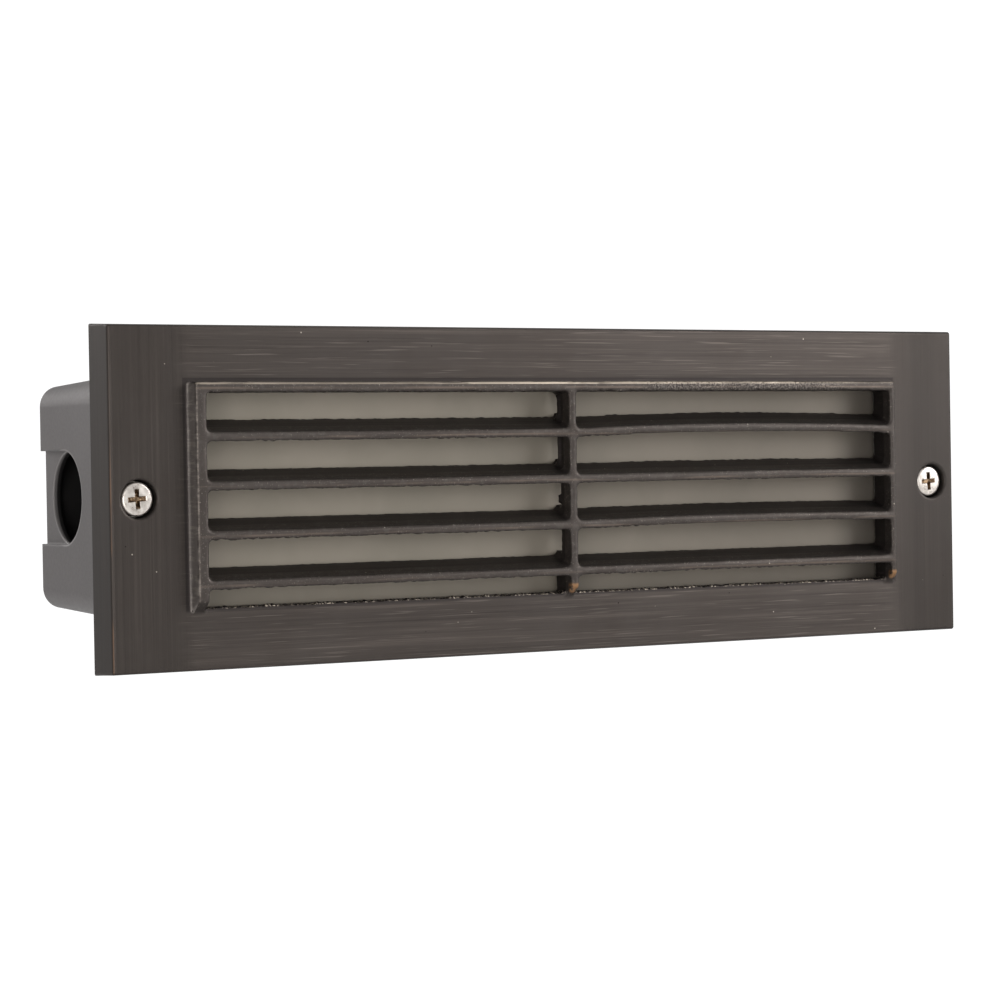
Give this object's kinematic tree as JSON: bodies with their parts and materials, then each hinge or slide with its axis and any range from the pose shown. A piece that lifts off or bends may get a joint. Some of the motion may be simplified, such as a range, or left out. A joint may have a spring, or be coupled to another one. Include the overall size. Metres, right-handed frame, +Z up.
{
  "type": "step light",
  "caption": "Louvred brick step light: dark bronze cast face plate with slanted blades over a frosted lens, screwed to a deep metal back box with a conduit entry.",
  "frame": {"origin": "middle of the wall face, where the rim of the face plate sits on the wall", "axes": "+X along the plate to the right seen from in front, +Y into the wall, +Z up"},
  "size_m": [0.236, 0.0792, 0.077],
  "materials": {
    "dark_bronze_casting": "dark oil-rubbed bronze on cast brass, brushed faces",
    "black_rubber": "matt",
    "frosted_glass": "frosted",
    "clear_silicone": "satin",
    "bright_screw": "bright stainless steel",
    "box_casting": "satin grey-bronze casting",
    "black_plastic": "fine matt texture",
    "bright_sheet": "bright rolled sheet",
    "holder_plastic": "smooth matt",
    "contact_brass": "bright strip",
    "lamp_glass": "clear",
    "filament_wire": "drawn wire",
    "lead_insulation": "smooth matt",
    "connector_plastic": "smooth matt"
  },
  "bodies": {
    "box": {"back_box": "box_casting", "reflector_pan": "bright_sheet", "reflector_screws": "bright_screw", "left_lamp_holder": "holder_plastic", "right_lamp_holder": "holder_plastic", "left_holder_contacts": "contact_brass", "right_holder_contacts": "contact_brass", "left_holder_leads": "lead_insulation", "right_holder_leads": "lead_insulation", "wire_connectors": "connector_plastic"},
    "cover": {"face_plate": "dark_bronze_casting", "face_gasket": "black_rubber", "lens": "frosted_glass", "lens_seal": "clear_silicone"},
    "left_screw": {"left_cover_screw": "bright_screw", "left_screw_washer": "bright_screw"},
    "right_screw": {"right_cover_screw": "bright_screw", "right_screw_washer": "bright_screw"},
    "left_lamp": {"left_lamp_bulb": "lamp_glass", "left_lamp_filament": "filament_wire"},
    "right_lamp": {"right_lamp_bulb": "lamp_glass", "right_lamp_filament": "filament_wire"},
    "plug": {"closure_plug": "black_plastic"}
  },
  "joints": [
    {"name": "cover_lift", "type": "slide", "parent": "box", "child": "cover", "axis": [0, -1, 0], "range_m": [0, 0.04]},
    {"name": "left_screw_out", "type": "slide", "parent": "cover", "child": "left_screw", "axis": [0, -1, 0], "range_m": [0, 0.01]},
    {"name": "right_screw_out", "type": "slide", "parent": "cover", "child": "right_screw", "axis": [0, -1, 0], "range_m": [0, 0.01]},
    {"name": "left_lamp_pull", "type": "slide", "parent": "box", "child": "left_lamp", "axis": [1, 0, 0], "range_m": [0, 0.014]},
    {"name": "right_lamp_pull", "type": "slide", "parent": "box", "child": "right_lamp", "axis": [-1, 0, 0], "range_m": [0, 0.014]},
    {"name": "plug_pull", "type": "slide", "parent": "box", "child": "plug", "axis": [1, 0, 0], "range_m": [0, 0.012]}
  ]
}
